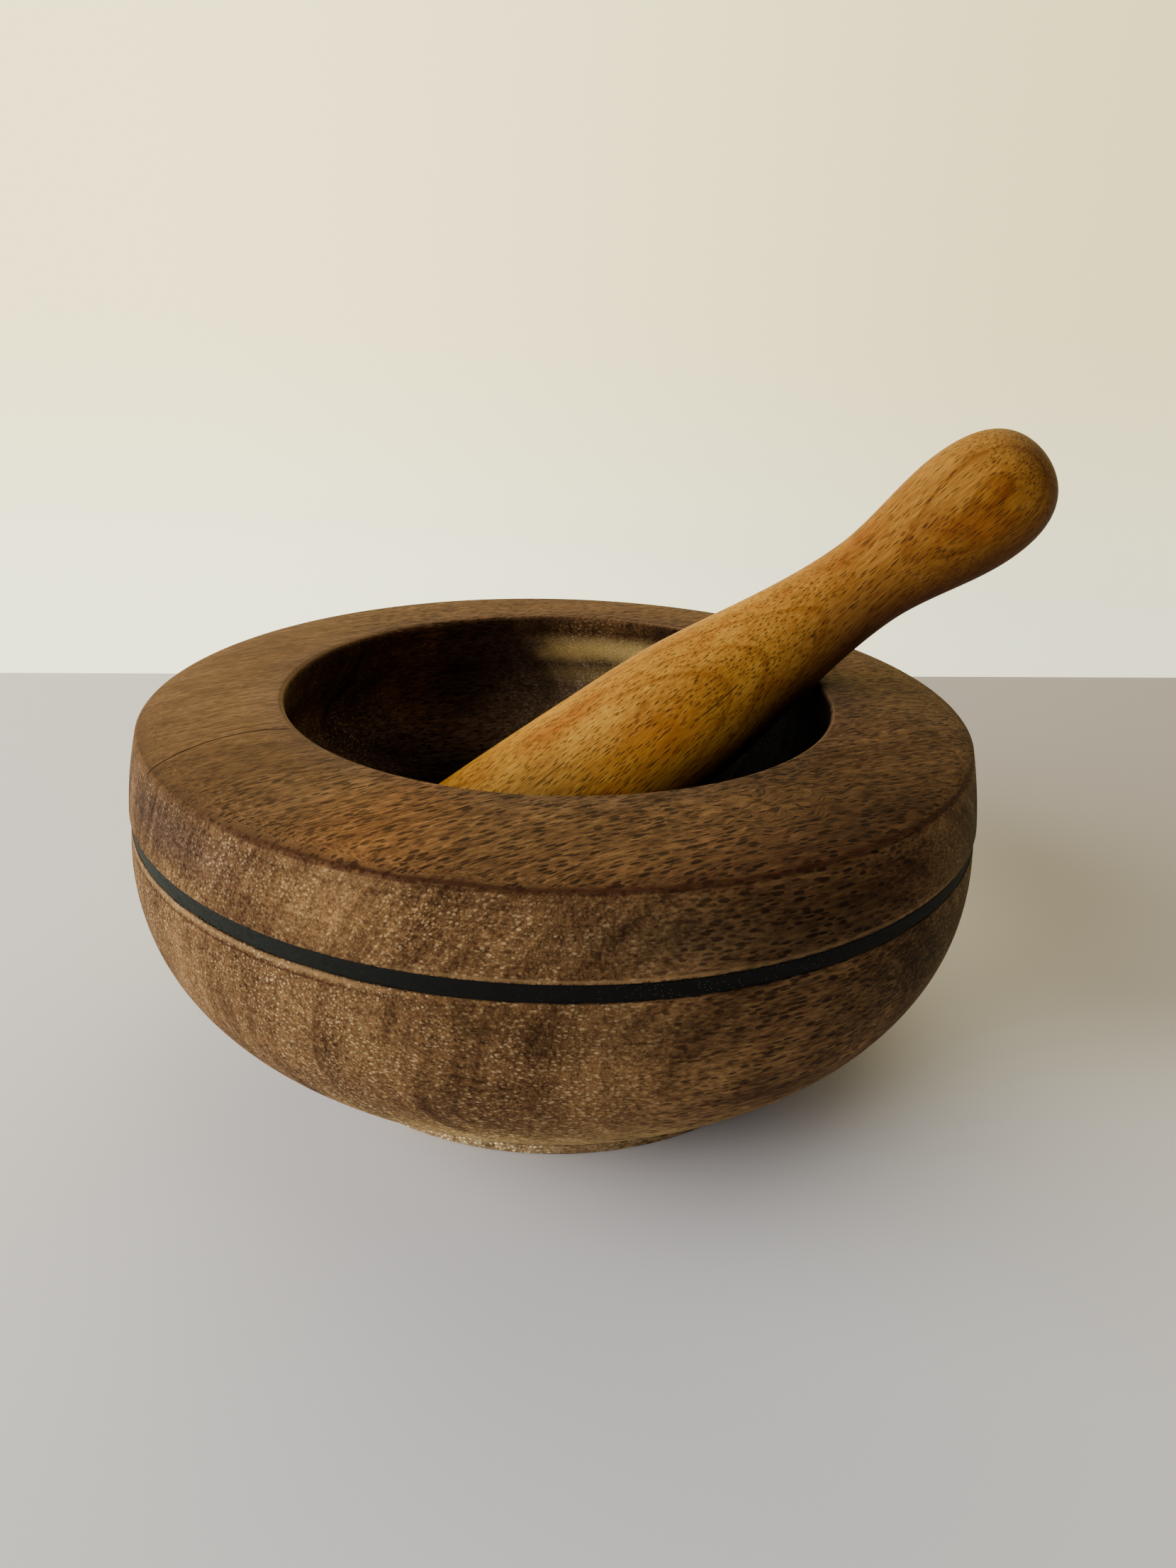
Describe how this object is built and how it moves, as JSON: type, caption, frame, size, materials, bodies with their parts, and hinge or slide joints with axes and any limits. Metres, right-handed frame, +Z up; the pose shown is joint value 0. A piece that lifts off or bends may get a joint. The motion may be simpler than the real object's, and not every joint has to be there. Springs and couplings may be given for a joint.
{
  "type": "mortar and pestle",
  "caption": "Turned wooden mortar with a wide rim and a black inlaid band, and a wooden pestle leaning in it that lifts out; for crushing spices by hand.",
  "frame": {"origin": "centre of the mortar's foot, on the surface it stands on", "axes": "+Z up along the mortar's turning axis, +X to the right where the pestle's knob points, -Y towards the viewer"},
  "size_m": [0.198, 0.1808, 0.1319],
  "materials": {
    "brown_wood": "oiled and worn, satin to matt, with open pores",
    "black_inlay": "matt black, slightly rough",
    "golden_wood": "waxed, smooth satin"
  },
  "bodies": {
    "mortar_body": {"mortar": "brown_wood", "inlaid_band": "black_inlay"},
    "pestle_body": {"pestle": "golden_wood"}
  },
  "joints": [
    {"name": "pestle_lift", "type": "slide", "parent": "mortar_body", "child": "pestle_body", "axis": [0, 0, 1], "range_m": [0, 0.09]}
  ]
}
